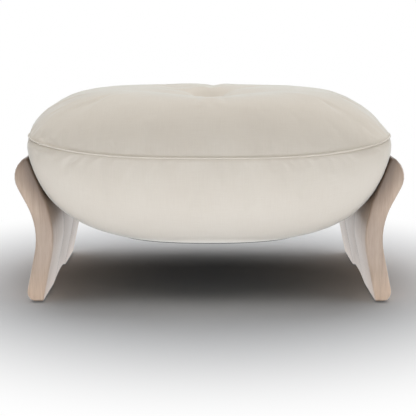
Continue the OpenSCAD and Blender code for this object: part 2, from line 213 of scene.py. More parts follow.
def only(piece: bpy.types.Object) -> None:
    """Selects one object alone and makes it the active one."""
    bpy.ops.object.select_all(action="DESELECT")
    piece.select_set(True)
    bpy.context.view_layer.objects.active = piece


def apply_modifier(piece: bpy.types.Object, kind: str, settings: dict[str, Any]) -> None:
    """Adds a modifier of a kind with its settings, and applies it."""
    modifier = piece.modifiers.new(kind.lower(), kind)
    for name, value in settings.items():
        setattr(modifier, name, value)
    only(piece)
    bpy.ops.object.modifier_apply(modifier=modifier.name)


@contextmanager
def opened(piece: bpy.types.Object) -> Iterator[bmesh.types.BMesh]:
    """Opens a piece's mesh for changes, and writes them back at the end."""
    shape = bmesh.new()
    shape.from_mesh(piece.data)
    yield shape
    shape.to_mesh(piece.data)
    shape.free()


def add_cloth_map(mesh: bpy.types.Mesh, flat: np.ndarray) -> None:
    """Adds the UV map that holds each vertex's place on the flat cloth, in metres.

    Args:
        mesh: The mesh.
        flat: One place for each vertex.
    """
    cloth = mesh.uv_layers.new(name="cloth")
    index = np.zeros(len(mesh.loops), np.int32)
    mesh.loops.foreach_get("vertex_index", index)
    cloth.data.foreach_set("uv", flat[index].astype(np.float32).ravel())


def new_piece(
    name: str, points: np.ndarray, faces: list[tuple[int, ...]], flat: np.ndarray | None = None
) -> bpy.types.Object:
    """Makes a smooth piece of points and faces, and links it to the scene.

    Args:
        name: The piece's name.
        points: Its vertices, as rows or as a grid.
        faces: The vertices of each face.
        flat: Each vertex's place on the flat cloth, where it shows a weave.

    Returns:
        The new object.
    """
    mesh = bpy.data.meshes.new(name)
    mesh.from_pydata([tuple(point) for point in points.reshape(-1, 3)], [], faces)
    if flat is not None:
        add_cloth_map(mesh, flat.reshape(-1, 2))
    mesh.shade_smooth()
    piece = bpy.data.objects.new(name, mesh)
    bpy.context.scene.collection.objects.link(piece)
    return piece


def place_piece(piece: bpy.types.Object, finish: bpy.types.Material) -> None:
    """Gives a finished piece its material and body.

    Args:
        piece: An object at the origin with its place in its mesh.
        finish: Its material.
    """
    piece.data.materials.clear()
    piece.data.materials.append(finish)
    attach(piece, BODY)
    LOG.info("piece %s: %d faces, %s", piece.name, len(piece.data.polygons), finish.name)


def search_tree(starts: tuple[str, ...]) -> BVHTree:
    """Joins the objects whose names start in given ways to one tree for ray casts."""
    verts, faces = [], []
    for node in bpy.data.objects:
        if node.name.startswith(starts):
            first = len(verts)
            verts += [vertex.co.copy() for vertex in node.data.vertices]
            faces += [tuple(first + index for index in face.vertices) for face in node.data.polygons]
    return BVHTree.FromPolygons(verts, faces)


def smooth_step(values: np.ndarray, low: float, high: float) -> np.ndarray:
    """Eases numbers from 0 at low to 1 at high."""
    share = np.clip((values - low) / (high - low), 0.0, 1.0)
    return share * share * (3 - 2 * share)


def grid_rings(rings: int) -> tuple[np.ndarray, np.ndarray]:
    """Lays out a square grid as rings round its middle.

    Args:
        rings: Number of rings.

    Returns:
        Each point's ring number, and its angle round the middle.
    """
    steps = np.arange(-rings, rings + 1)
    col, row = np.meshgrid(steps, steps)
    ring = np.maximum(np.abs(col), np.abs(row))
    return ring, np.arctan2(row, np.where(ring == 0, 1, col))


def grid_quads(rings: int) -> list[tuple[int, ...]]:
    """Gives the faces of such a grid, each anticlockwise from its first corner."""
    side = 2 * rings + 1
    corners = [row * side + col for row in range(side - 1) for col in range(side - 1)]
    return [(a, a + 1, a + side + 1, a + side) for a in corners]


# Finishes


@dataclass(frozen=True)
class LinenWeave:
    """Washed linen in a plain weave, woven of slubbed yarns and left matt.

    The eye sees a soft off-white cloth with faint thick yarns both ways, a slightly
    paler bloom where the surface turns away, and no gloss. The weave is drawn as coarse
    as it needs to show, 1.5 mm a thread.
    """

    name: str = "linen_plain_weave"
    tones: Stops = ((0.3, "D8CFC3"), (0.5, "DCD4C8"), (0.72, "E0D9CE"))
    bloom: str = "E4EEF0"
    thread: float = 1.5 * MM
    thread_tone: float = 0.03
    thread_height: float = 0.35
    slub_width: float = 1.4 * MM
    slub_length: float = 45 * MM
    cloud_scale: float = 9.0
    cloud_share: float = 0.3
    relief: tuple[float, float] = (0.16, 0.6 * MM)

    def build(self) -> bpy.types.Material:
        """Builds the material on the cloth's own UV map, which is in metres."""
        material, add = new_material(self.name)
        cloth = add("ShaderNodeUVMap", {"uv_map": "cloth"})
        sides = add("ShaderNodeSeparateXYZ", links={0: cloth})
        thick, long = 1 / self.slub_width, 1 / self.slub_length
        threads, slubs = [], []
        for axis, scale in (("X", (thick, long, 1.0)), ("Y", (long, thick, 1.0))):
            turns = add("ShaderNodeMath", MULTIPLY, {1: math.pi / self.thread}, {0: sides.outputs[axis]})
            threads.append(add("ShaderNodeMath", {"operation": "SINE"}, links={0: turns}))
            slubs.append(streaks(add, cloth, scale, {"Detail": 3.0, "Roughness": 0.55}))
        crossing = add("ShaderNodeMath", MULTIPLY, links={0: threads[0], 1: threads[1]})
        both = add("ShaderNodeMath", {"operation": "ADD"}, links={0: slubs[0], 1: slubs[1]})
        half = add("ShaderNodeMath", MULTIPLY, {1: 0.5}, {0: both})
        place = {"Vector": add("ShaderNodeTexCoord").outputs["Object"]}
        cloud = add("ShaderNodeTexNoise", values={"Scale": self.cloud_scale, "Detail": 2.0}, links=place)
        tone = add("ShaderNodeMix", BLEND, {0: self.cloud_share}, {2: half, 3: cloud})
        base = add("ShaderNodeValToRGB", links={0: tone}, stops=self.tones)
        fine = {1: self.thread_tone, 2: 1 - self.thread_tone / 2}
        weave_tone = add("ShaderNodeMath", MULTIPLY_ADD, fine, {0: crossing})
        coloured = add("ShaderNodeMix", TINT, {0: 1.0}, {6: base, 7: weave_tone})
        height = add("ShaderNodeMath", MULTIPLY_ADD, {1: self.thread_height}, {0: crossing, 2: half})
        finish_surface(
            add,
            {"Roughness": 0.8, "IOR": 1.45, "Sheen Weight": 0.66, "Sheen Roughness": 0.28,
             "Sheen Tint": linear_colour(self.bloom), "Specular IOR Level": 0.4},
            {"Base Color": coloured},
            (height, *self.relief),
        )
        return material


class Plank(Enum):
    """The boards of one side, each with its own cut of the log: grain offset and tone."""

    FRONT = (0.0, 1.0)
    MIDDLE = (0.37, 0.965)
    REAR = (0.71, 1.02)


@dataclass(frozen=True)
class LimedAsh:
    """Ash with open pores, stained taupe, rubbed with lime and sealed with satin lacquer.

    The eye sees long vertical grain lines with paler lime in the pores, broad soft bands
    between the growth rings, and a low satin gloss. Light and shade are painted over it:
    lighter towards the feet, painted shade darker higher up and beside the cushion, a
    painted lighter outer rim, and a painted contact shadow as a dark band round the very foot.
    """

    name: str
    offset: float = 0.0
    tone: float = 1.0
    tones: Stops = ((0.34, "C8AD96"), (0.5, "DDC2AB"), (0.66, "EAD1BA"))
    # Painted shading by height: a dark band round the very foot as a painted contact shadow, lighter
    # towards the feet, and painted shade darkening upwards to the cushion.
    painted_shading_height: float = 0.3
    painted_shading: Stops = (
        (0.010, "2E2926"), (0.022, "FFFFFF"), (0.1, "EEEEEE"), (0.22, "D4D4D4"), (0.35, "C8C8C8"),
        (0.5, "C6C6C6"), (0.68, "C9C9C9"), (0.78, "C1C1C1"), (0.87, "B2B2B2"),
    )
    # Painted shade beside the cushion and a painted lighter outer rim; x, z and lean place the inner edge
    # where the painted shade is darkest.
    cradle_x: float = 0.322
    cradle_z: float = 0.19
    cradle_lean: float = 0.42
    painted_shade_colour: str = "8C7E72"
    painted_rim_light: float = 1.3
    painted_shade_rise: tuple[float, float] = (0.13, 0.25)
    thickness: float = 38 * MM
    joint_y: float = 77.3 * MM
    joint_reach: tuple[float, float] = (0.8 * MM, 2.6 * MM)
    joint_tone: float = 0.3
    cut: tuple[float, float, float] = (1.7, 1.0, 2.3)
    wander: tuple[float, float, float] = (9.0, 9.0, 2.2)
    wander_share: float = 0.25
    ring_width: float = 11 * MM
    rings_up: float = 1.4
    pore_width: float = 1.6 * MM
    pore_length: float = 38 * MM
    pore_share: float = 0.45
    relief: tuple[float, float] = (0.16, 0.5 * MM)
    gloss: tuple[float, float] = (0.5, 0.38)

    def painted_shade_and_rim_light(self, add: Adder, spot: Node) -> Node:
        """Gives painted shade that darkens across the thickness towards the cushion, with a painted lighter
        outer rim.

        Args:
            add: Adds a node to the material.
            spot: The node that gives X, Y and Z apart.

        Returns:
            The factor, 1 where nothing changes.
        """
        aside = add("ShaderNodeMath", ABSOLUTE, links={0: spot.outputs["X"]})
        above = add("ShaderNodeMath", SUBTRACT, {1: self.cradle_z}, {0: spot.outputs["Z"]})
        climb = add("ShaderNodeMath", MAXIMUM, {1: 0.0}, {0: above})
        inner = add("ShaderNodeMath", MULTIPLY_ADD, {1: self.cradle_lean, 2: self.cradle_x}, {0: climb})
        depth = add("ShaderNodeMath", SUBTRACT, links={0: aside, 1: inner})
        across = add("ShaderNodeMapRange", values=span(0.0, self.thickness), links={0: depth})
        # Painted shade at the inner edge beside the cushion, painted light at the outer rim.
        dark, bright = linear_colour(self.painted_shade_colour), (*[self.painted_rim_light] * 3, 1.0)
        painted_shading = add("ShaderNodeMix", {"data_type": "RGBA"}, {6: dark, 7: bright}, {0: across})
        strength = add("ShaderNodeMapRange", EASED, span(*self.painted_shade_rise), {0: spot.outputs["Z"]})
        return add("ShaderNodeMix", {"data_type": "RGBA"}, {6: WHITE}, {0: strength, 7: painted_shading})

    def glue_line(self, add: Adder, spot: Node) -> Node:
        """Gives the thin dark line where two boards of a side are glued together.

        Args:
            add: Adds a node to the material.
            spot: The node that gives X, Y and Z apart.

        Returns:
            The factor, 1 away from the joint.
        """
        along = add("ShaderNodeMath", ABSOLUTE, links={0: spot.outputs["Y"]})
        past = add("ShaderNodeMath", SUBTRACT, {1: self.joint_y}, {0: along})
        away = add("ShaderNodeMath", ABSOLUTE, links={0: past})
        fading = span(*self.joint_reach, self.joint_tone, 1.0)
        return add("ShaderNodeMapRange", values=fading, links={0: away})

    def build(self) -> bpy.types.Material:
        """Builds the material on object coordinates, with the grain standing up."""
        material, add = new_material(self.name)
        place = add("ShaderNodeTexCoord").outputs["Object"]
        shift = tuple(self.offset * share for share in self.cut)
        cut = add("ShaderNodeMapping", values={"Location": shift}, links={"Vector": place})
        wander = streaks(add, cut, self.wander, {"Detail": 2.0, "Roughness": 0.5})
        rings = streaks(
            add, cut, (1 / self.ring_width, 1 / self.ring_width, self.rings_up),
            {"Detail": 2.0, "Roughness": 0.6, "Distortion": 0.35},
        )
        pores = streaks(
            add, cut, (1 / self.pore_width, 1 / self.pore_width, 1 / self.pore_length),
            {"Detail": 3.0, "Roughness": 0.65},
        )
        grain = add("ShaderNodeMix", BLEND, {0: self.pore_share}, {2: rings, 3: pores})
        drift = add("ShaderNodeMix", BLEND, {0: self.wander_share}, {2: grain, 3: wander})
        base = add("ShaderNodeValToRGB", links={0: drift}, stops=self.tones)
        tone = (self.tone, self.tone, self.tone, 1.0)
        wood = add("ShaderNodeMix", TINT, {0: 1.0, 7: tone}, {6: base})
        spot = add("ShaderNodeSeparateXYZ", links={0: place})
        # Painted shading by height: painted contact shadow at the foot, lighter near the feet, painted
        # shade darker towards the cushion.
        level = add(
            "ShaderNodeMath", {"operation": "DIVIDE"}, {1: self.painted_shading_height}, {0: spot.outputs["Z"]}
        )
        painted_shading = add("ShaderNodeValToRGB", links={0: level}, stops=self.painted_shading)
        # Painted shading by height, painted shade and rim light by the cushion, and the real dark glue
        # line.
        for factor in (painted_shading, self.painted_shade_and_rim_light(add, spot), self.glue_line(add, spot)):
            wood = add("ShaderNodeMix", TINT, {0: 1.0}, {6: wood, 7: factor})
        gloss = add("ShaderNodeMapRange", values=span(*NOISE_RANGE, *self.gloss), links={0: pores})
        finish_surface(
            add,
            {"IOR": 1.5, "Coat Weight": 0.45, "Coat Roughness": 0.3, "Coat IOR": 1.5},
            {"Base Color": wood, "Roughness": gloss},
            (pores, *self.relief),
        )
        return material


@dataclass(frozen=True)
class SawnTimber:
    """Raw softwood or beech, planed or turned and left bare.

    The eye sees straw-coloured wood with brown growth rings along the piece, and no gloss.
    """

    name: str
    pale: str
    dark: str
    along: tuple[float, float, float]
    ring_width: float = 5 * MM
    rings_along: float = 2.0
    relief: tuple[float, float] = (0.2, 0.3 * MM)

    def build(self) -> bpy.types.Material:
        """Builds the material on object coordinates, with the grain along the piece."""
        material, add = new_material(self.name)
        place = add("ShaderNodeTexCoord").outputs["Object"]
        scale = tuple(self.rings_along if share else 1 / self.ring_width for share in self.along)
        rings = streaks(add, place, scale, {"Detail": 4.0, "Distortion": 0.8})
        base = add("ShaderNodeValToRGB", links={0: rings}, stops=((0.35, self.dark), (0.62, self.pale)))
        finish_surface(add, {"Roughness": 0.72, "IOR": 1.5}, {"Base Color": base}, (rings, *self.relief))
        return material


@dataclass(frozen=True)
class MouldedPlastic:
    """Injection moulded plastic with a fine spark-eroded texture, scuffed where it slides.

    The eye sees a dark, even, dull surface with small pits and paler rub marks.
    """

    name: str
    colour: str
    rubbed: str
    pit: float = 0.8 * MM
    rub_scale: float = 70.0
    relief: tuple[float, float] = (0.25, 0.1 * MM)
    gloss: tuple[float, float] = (0.42, 0.6)

    def build(self) -> bpy.types.Material:
        """Builds the material on object coordinates."""
        material, add = new_material(self.name)
        place = {"Vector": add("ShaderNodeTexCoord").outputs["Object"]}
        pits = add("ShaderNodeTexNoise", values={"Scale": 1 / self.pit, "Detail": 2.0}, links=place)
        rubs = add("ShaderNodeTexNoise", values={"Scale": self.rub_scale, "Detail": 5.0}, links=place)
        base = add("ShaderNodeValToRGB", links={0: rubs}, stops=((0.5, self.colour), (0.75, self.rubbed)))
        gloss = add("ShaderNodeMapRange", values=span(*NOISE_RANGE, *self.gloss), links={0: rubs})
        finish_surface(add, {"IOR": 1.53}, {"Base Color": base, "Roughness": gloss}, (pits, *self.relief))
        return material


@dataclass(frozen=True)
class WovenStrip:
    """Narrow woven goods, such as elastic webbing, or bonded fibres of a lining.

    The eye sees ribs or fibres in two close tones, and no gloss.
    """

    name: str
    light: str
    dark: str
    rib: float
    ribbed: bool = True
    fibre_share: float = 0.4
    fibres_per_rib: float = 0.7
    waves_per_rib: float = 0.3
    relief: tuple[float, float] = (0.4, 0.3 * MM)

    def build(self) -> bpy.types.Material:
        """Builds the material on object coordinates."""
        material, add = new_material(self.name)
        place = {"Vector": add("ShaderNodeTexCoord").outputs["Object"]}
        fineness = {"Scale": self.fibres_per_rib / self.rib, "Detail": 4.0}
        pattern = add("ShaderNodeTexNoise", values=fineness, links=place)
        if self.ribbed:
            ribs = add(
                "ShaderNodeTexWave", {"bands_direction": "DIAGONAL"},
                {"Scale": self.waves_per_rib / self.rib, "Distortion": 0.4}, place,
            )
            both = {2: ribs.outputs["Fac"], 3: pattern}
            pattern = add("ShaderNodeMix", BLEND, {0: self.fibre_share}, both)
        base = add("ShaderNodeValToRGB", links={0: pattern}, stops=((0.35, self.dark), (0.65, self.light)))
        finish_surface(
            add, {"Roughness": 0.9, "IOR": 1.46, "Sheen Weight": 0.1}, {"Base Color": base},
            (pattern, *self.relief),
        )
        return material


@dataclass(frozen=True)
class WorkedMetal:
    """Turned, drawn or zinc plated metal, with the fine marks of its making.

    The eye sees a metal colour with hairline streaks and a soft broken reflection.
    """

    name: str
    bright: str
    dull: str
    rough: float
    streak: float = 0.7 * MM
    streaks_along: float = 40.0

    def build(self) -> bpy.types.Material:
        """Builds the material on object coordinates."""
        material, add = new_material(self.name)
        place = add("ShaderNodeTexCoord").outputs["Object"]
        marks = streaks(add, place, (self.streaks_along, 1 / self.streak, 1 / self.streak), {"Detail": 3.0})
        base = add("ShaderNodeValToRGB", links={0: marks}, stops=((0.3, self.dull), (0.7, self.bright)))
        rough = span(*NOISE_RANGE, self.rough + 0.1, self.rough - 0.05)
        gloss = add("ShaderNodeMapRange", values=rough, links={0: marks})
        finish_surface(add, {"Metallic": 1.0}, {"Base Color": base, "Roughness": gloss})
        return material


# The cushion


def hump(values: np.ndarray, start: float, full: float, fading: float, end: float) -> np.ndarray:
    """Eases numbers from 0 at start to 1 at full, and from fading back to 0 at end."""
    return smooth_step(values, start, full) * (1 - smooth_step(values, fading, end))


@dataclass(frozen=True)
class Fold:
    """A soft crease that runs away from the tuft, or a ridge where its depth is negative."""

    heading: float
    length: float
    depth: float
    width: float
    start: float = 30 * MM
    full_share: float = 0.4

    def at(self, x: np.ndarray, y: np.ndarray) -> np.ndarray:
        """Gives how far the fold sinks the crown.

        Args:
            x: Places along the width.
            y: Places from front to rear.

        Returns:
            Depths in metres.
        """
        turn = math.radians(self.heading)
        along = x * math.cos(turn) + y * math.sin(turn)
        aside = y * math.cos(turn) - x * math.sin(turn)
        fading = hump(along, 0.0, self.start, self.full_share * self.length, self.length)
        return self.depth * fading * np.exp(-((aside / self.width) ** 2))


@dataclass(frozen=True)
class CushionForm:
    """Sizes and profile of the stuffed cushion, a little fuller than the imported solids.

    Its skin runs by a turn in degrees: 0 at the widest line, 90 at the crown's pole and
    -90 at the belly's. The uneven stuffing that the photograph shows is added to that.
    """

    half_w: float = 0.3771
    half_d: float = 0.297
    seam_z: float = 0.3118
    bulge_drop: float = 0.0177
    seam_lift: float = 0.0414
    seam_lift_power: int = 3
    crown_h: float = 0.1196
    belly_h: float = 0.2042
    bulge_square: float = 7.9
    crown_square: float = 2.43
    belly_square: float = 1.78
    belly_bow: float = 0.0313
    crown_side: float = 0.343
    crown_front: float = 0.399
    crown_rise: float = 0.947
    belly_side: float = 0.484
    belly_front: float = 0.394
    belly_drop: float = 1.152
    crown_blend: float = 0.446
    crown_blend_from: float = 0.05
    belly_blend: float = 1.81
    tuft_depth: float = 0.026
    tuft_spread: float = 0.022
    tuft_flat: float = 0.016
    tuft_turns: tuple[float, float] = (20, 50)
    crown_sway: float = -0.0063
    crown_sway_turns: tuple[float, ...] = (8, 28, 62, 84)
    belly_sway: float = 0.0024
    belly_sway_turns: tuple[float, ...] = (38, 52, 62, 76)
    crown_ease: float = 0.0005
    slump: float = 0.017
    slump_y: float = -0.085
    slump_reach: tuple[float, float] = (0.10, 0.08)
    folds: tuple[Fold, ...] = (
        Fold(86, 0.26, 0.0040, 0.014),
        Fold(108, 0.30, -0.0040, 0.036),
        Fold(74, 0.30, -0.0034, 0.020),
        Fold(169, 0.14, 0.0030, 0.012),
        Fold(-51, 0.12, 0.0024, 0.012),
        Fold(30, 0.13, 0.0020, 0.012),
        Fold(-142, 0.11, 0.0014, 0.012),
    )

    @property
    def seam_turn(self) -> float:
        """Turn from the widest line up to the seam."""
        share = self.bulge_drop / (self.crown_h + self.bulge_drop)
        return math.degrees(math.asin(share ** (1 / self.crown_rise)))

    def climb(self, turn: np.ndarray) -> np.ndarray:
        """Gives how far the skin has climbed, or dropped, from the widest line at a turn."""
        rise = np.abs(np.sin(np.radians(turn)))
        above = (self.crown_h + self.bulge_drop) * rise**self.crown_rise
        below = (self.belly_h - self.bulge_drop) * rise**self.belly_drop
        return np.where(turn >= 0, above, below)

    def plan(self, angle: np.ndarray, power: np.ndarray) -> tuple[np.ndarray, np.ndarray]:
        """Gives points of the squared plan on a unit half width and depth.

        Args:
            angle: Angles round the plan.
            power: Squareness at each point, 2 for an ellipse.

        Returns:
            X and Y of each point.
        """
        across, along = np.abs(np.cos(angle)), np.abs(np.sin(angle))
        reach = (across**power + along**power) ** (-1 / power)
        return reach * np.cos(angle), reach * np.sin(angle)

    def hollow(self, x: np.ndarray, y: np.ndarray) -> np.ndarray:
        """Gives how deep the crown sinks at the tuft, in its folds and in front of it."""
        reach = np.hypot(x, y)
        tuft = np.exp(-((np.maximum(0, reach - self.tuft_flat) / self.tuft_spread) ** 2))
        wide, deep = self.slump_reach
        slump = self.slump * np.exp(-((x / wide) ** 2) - ((y - self.slump_y) / deep) ** 2)
        creases = sum(fold.at(x, y) for fold in self.folds)
        return self.tuft_depth * tuft + (slump + creases + self.crown_ease) * (1 - tuft)

    def sway(self, turn: np.ndarray) -> np.ndarray:
        """Gives how far the stuffing leans to one side, by the turn of the skin."""
        crown = hump(turn, *self.crown_sway_turns)
        belly = hump(-turn, *self.belly_sway_turns)
        return self.crown_sway * crown + self.belly_sway * belly

    def skin(self, turn: np.ndarray, angle: np.ndarray) -> np.ndarray:
        """Gives points of the cushion's skin.

        Args:
            turn: Degrees up from the widest line, negative downwards.
            angle: Angles round the plan.

        Returns:
            Points, one row each.
        """
        crown = turn >= 0
        share = np.abs(turn) / 90
        narrow = np.cos(np.radians(turn))
        crown_plan = (self.crown_square - self.bulge_square) * share
        crown_plan = crown_plan * (share + self.crown_blend_from) ** (self.crown_blend - 1)
        belly_plan = (self.belly_square - self.bulge_square) * share**self.belly_blend
        across, along = self.plan(angle, self.bulge_square + np.where(crown, crown_plan, belly_plan))
        x = self.half_w * across * narrow ** np.where(crown, self.crown_side, self.belly_side)
        y = self.half_d * along * narrow ** np.where(crown, self.crown_front, self.belly_front)
        lift = self.seam_lift * np.abs(across) ** self.seam_lift_power * (1 - share) ** 2
        above = self.climb(turn) - self.hollow(x, y) * smooth_step(turn, *self.tuft_turns)
        below = self.climb(turn) - self.belly_bow * (x / self.half_w) ** 2 * share
        z = self.seam_z - self.bulge_drop + lift + np.where(crown, above, -below)
        return np.stack([x + self.sway(turn), y, z], -1)

    def turn_at(self, width: np.ndarray, upper: bool) -> np.ndarray:
        """Gives the turn at which a half has narrowed to a share of the half width.

        Args:
            width: Share of the half width, from 1 at the widest line to 0 at the pole.
            upper: Whether the crown is meant, else the belly.

        Returns:
            Turns in degrees, negative on the belly.
        """
        power = self.crown_side if upper else self.belly_side
        turn = np.degrees(np.arccos(np.clip(width, 0, 1) ** (1 / power)))
        return turn if upper else -turn


@dataclass(frozen=True)
class Stuffing:
    """How a pad is blown up by the cloth simulation."""

    frames: int = 20
    pressure: float = 4.0
    drawn_in: float = 1.2 * MM
    swell_blur: float = 7.0
    swell_cap: float = 2 * MM
    wrinkle_cap: float = 2.5 * MM
    spare_cloth: float = 0.03


@dataclass
class Pad:
    """One half of the cushion on a square grid of concentric rings, from pole to seam."""

    name: str
    form: CushionForm
    upper: bool
    rings: int = 64
    fine_rings: int = 9
    finest: float = 0.17
    even_to: float = 0.93
    samples: tuple[int, int] = (900, 600)
    points: np.ndarray = field(init=False)
    turn: np.ndarray = field(init=False)
    angle: np.ndarray = field(init=False)
    flat: np.ndarray = field(init=False)
    to_seam: np.ndarray = field(init=False)

    def ring_turns(self) -> np.ndarray:
        """Gives a turn for each ring from pole to seam: even steps, finer at the seam."""
        middle_count, rim_count = self.samples
        middle = self.form.turn_at(np.linspace(0, self.even_to, middle_count), self.upper)
        fine = np.concatenate([middle, np.linspace(middle[-1], self.form.seam_turn, rim_count)[1:]])
        run = np.zeros(len(fine))
        for angle in (0.0, math.pi / 2, math.pi / 4):
            line = self.form.skin(fine, np.full(len(fine), angle))
            run[1:] += np.cumsum(np.linalg.norm(np.diff(line, axis=0), axis=1))
        steps = np.ones(self.rings)
        steps[-self.fine_rings:] = np.geomspace(1.0, self.finest, self.fine_rings)
        wanted = np.concatenate([[0], np.cumsum(steps)]) * run[-1] / steps.sum()
        return np.interp(wanted, run, fine)

    def lay_out(self) -> None:
        """Works out the grid's points, turns, angles and flattened places of the cloth."""
        ring, self.angle = grid_rings(self.rings)
        turns = self.ring_turns()
        self.turn = turns[ring]
        self.points = self.form.skin(self.turn, self.angle)
        run = np.zeros(ring.shape)
        for k in range(1, self.rings + 1):
            here = ring == k
            angle = self.angle[here]
            outer = self.form.skin(np.full(angle.shape, turns[k]), angle)
            inner = self.form.skin(np.full(angle.shape, turns[k - 1]), angle)
            run[here] = self.run_at(run, ring, k - 1, angle) + np.linalg.norm(outer - inner, axis=1)
        rim_run = self.run_at(run, ring, self.rings, self.angle.ravel())
        self.to_seam = rim_run.reshape(self.angle.shape) - run
        extra = np.maximum(run - np.hypot(self.points[..., 0], self.points[..., 1]), 0)
        self.flat = self.points[..., :2] + self.plan_normals() * extra[..., None]

    def run_at(self, run: np.ndarray, ring: np.ndarray, k: int, angle: np.ndarray) -> np.ndarray:
        """Reads the run from the pole to ring k at other angles.

        Args:
            run: Lengths along the cloth on the grid.
            ring: Ring numbers on the grid.
            k: The ring to read.
            angle: Angles to read at.

        Returns:
            Interpolated lengths.
        """
        if k == 0:
            return np.zeros(angle.shape)
        here = ring == k
        order = np.argsort(self.angle[here])
        known = self.angle[here][order]
        lengths = run[here][order]
        known = np.concatenate([known - math.tau, known, known + math.tau])
        return np.interp(angle, known, np.tile(lengths, 3))

    def plan_normals(self) -> np.ndarray:
        """Gives the outward directions of the seam's plan at the grid's angles."""
        power = self.form.bulge_square
        x, y = self.form.plan(self.angle, np.full(self.angle.shape, power))
        nx = np.sign(x) * np.abs(x) ** (power - 1) / self.form.half_w
        ny = np.sign(y) * np.abs(y) ** (power - 1) / self.form.half_d
        size = np.maximum(np.hypot(nx, ny), TINY)
        return np.stack([nx / size, ny / size], -1)

    def normals(self, points: np.ndarray) -> np.ndarray:
        """Gives outward unit normals of the grid surface."""
        normal = np.cross(np.gradient(points, axis=1), np.gradient(points, axis=0))
        if not self.upper:
            normal = -normal
        return normal / np.maximum(np.linalg.norm(normal, axis=2, keepdims=True), TINY)

    def build(self, points: np.ndarray) -> bpy.types.Object:
        """Makes the open skin of the pad from its grid's points, facing outwards."""
        quads = grid_quads(self.rings)
        faces = quads if self.upper else [quad[::-1] for quad in quads]
        return new_piece(self.name, points, faces, self.flat)


def close_rim(piece: bpy.types.Object, height: float) -> None:
    """Closes a pad across its seam with a hidden fan, and keeps the rim crisp.

    Args:
        piece: A pad with one open rim.
        height: Height of the fan's middle.
    """
    with opened(piece) as shape:
        rim = [edge for edge in shape.edges if edge.is_boundary]
        middle = shape.verts.new((0.0, 0.0, height))
        for edge in rim:
            edge.smooth = False
            loop = edge.link_loops[0]
            face = shape.faces.new((loop.link_loop_next.vert, loop.vert, middle))
            face.smooth = False


def blurred(values: np.ndarray, sigma: float) -> np.ndarray:
    """Smooths a grid of vectors with a bell curve, sigma cells wide."""
    reach = int(3 * sigma)
    bell = np.exp(-0.5 * (np.arange(-reach, reach + 1) / sigma) ** 2)
    bell /= bell.sum()
    for axis in (0, 1):
        padding = [(reach, reach) if a == axis else (0, 0) for a in range(3)]
        wide = np.pad(values, padding, mode="edge")
        count = values.shape[axis]
        shifted = (np.take(wide, np.arange(k, k + count), axis=axis) for k in range(len(bell)))
        values = sum(weight * grid for weight, grid in zip(bell, shifted))
    return values


def capped(moves: np.ndarray, cap: float) -> np.ndarray:
    """Shortens moves that are longer than the cap."""
    length = np.linalg.norm(moves, axis=2, keepdims=True)
    return moves * np.minimum(1, cap / np.maximum(length, TINY))


def swollen(pad: Pad, stuffing: Stuffing, held: np.ndarray, gathered: np.ndarray) -> np.ndarray:
    """Blows a pad up as cloth over its filling and returns its settled points.

    Args:
        pad: The pad, already laid out.
        stuffing: Pressure, frames and caps.
        held: Weight of 1 where the cloth is sewn or stapled, 0 where it is free.
        gathered: Weight of 1 where the cloth is cut too long and gathered at a seam.

    Returns:
        Grid of points near the pad's own form, with the wrinkles of the simulation.
    """
    free = (1 - held)[..., None]
    start = pad.points + pad.normals(pad.points) * (-stuffing.drawn_in * free)
    piece = pad.build(start)
    pins = piece.vertex_groups.new(name="held")
    plain = piece.vertex_groups.new(name="cut to size")
    for number, (pinned, spare) in enumerate(zip(held.ravel(), gathered.ravel())):
        if pinned > 0:
            pins.add([number], float(pinned), "REPLACE")
        plain.add([number], float(1 - spare), "REPLACE")
    cloth = piece.modifiers.new("swell", "CLOTH")
    rules = cloth.settings
    rules.quality = 4
    rules.mass = 0.25
    rules.tension_stiffness = 12
    rules.compression_stiffness = 12
    rules.shear_stiffness = 4
    rules.bending_stiffness = 0.4
    rules.use_pressure = True
    rules.uniform_pressure_force = stuffing.pressure
    rules.effector_weights.gravity = 0
    rules.vertex_group_mass = pins.name
    rules.vertex_group_shrink = plain.name
    rules.shrink_min = -stuffing.spare_cloth
    rules.shrink_max = 0.0
    cloth.point_cache.frame_start = 1
    cloth.point_cache.frame_end = stuffing.frames
    scene = bpy.context.scene
    for frame in range(1, stuffing.frames + 1):
        scene.frame_set(frame)
    settled = piece.evaluated_get(bpy.context.evaluated_depsgraph_get()).data
    moved = np.zeros(len(settled.vertices) * 3, np.float32)
    settled.vertices.foreach_get("co", moved)
    moved = moved.reshape(pad.points.shape).astype(float)
    bpy.data.objects.remove(piece)
    scene.frame_set(1)
    moves = moved - start
    slow = blurred(moves, stuffing.swell_blur)
    quick = (moves - slow) * free
    swell, wrinkles = (np.linalg.norm(part, axis=2).max() / MM for part in (slow, quick))
    LOG.info("%s: swell up to %.1f mm, wrinkles up to %.1f mm", pad.name, swell, wrinkles)
    return start + capped(slow, stuffing.swell_cap) * free + capped(quick, stuffing.wrinkle_cap)


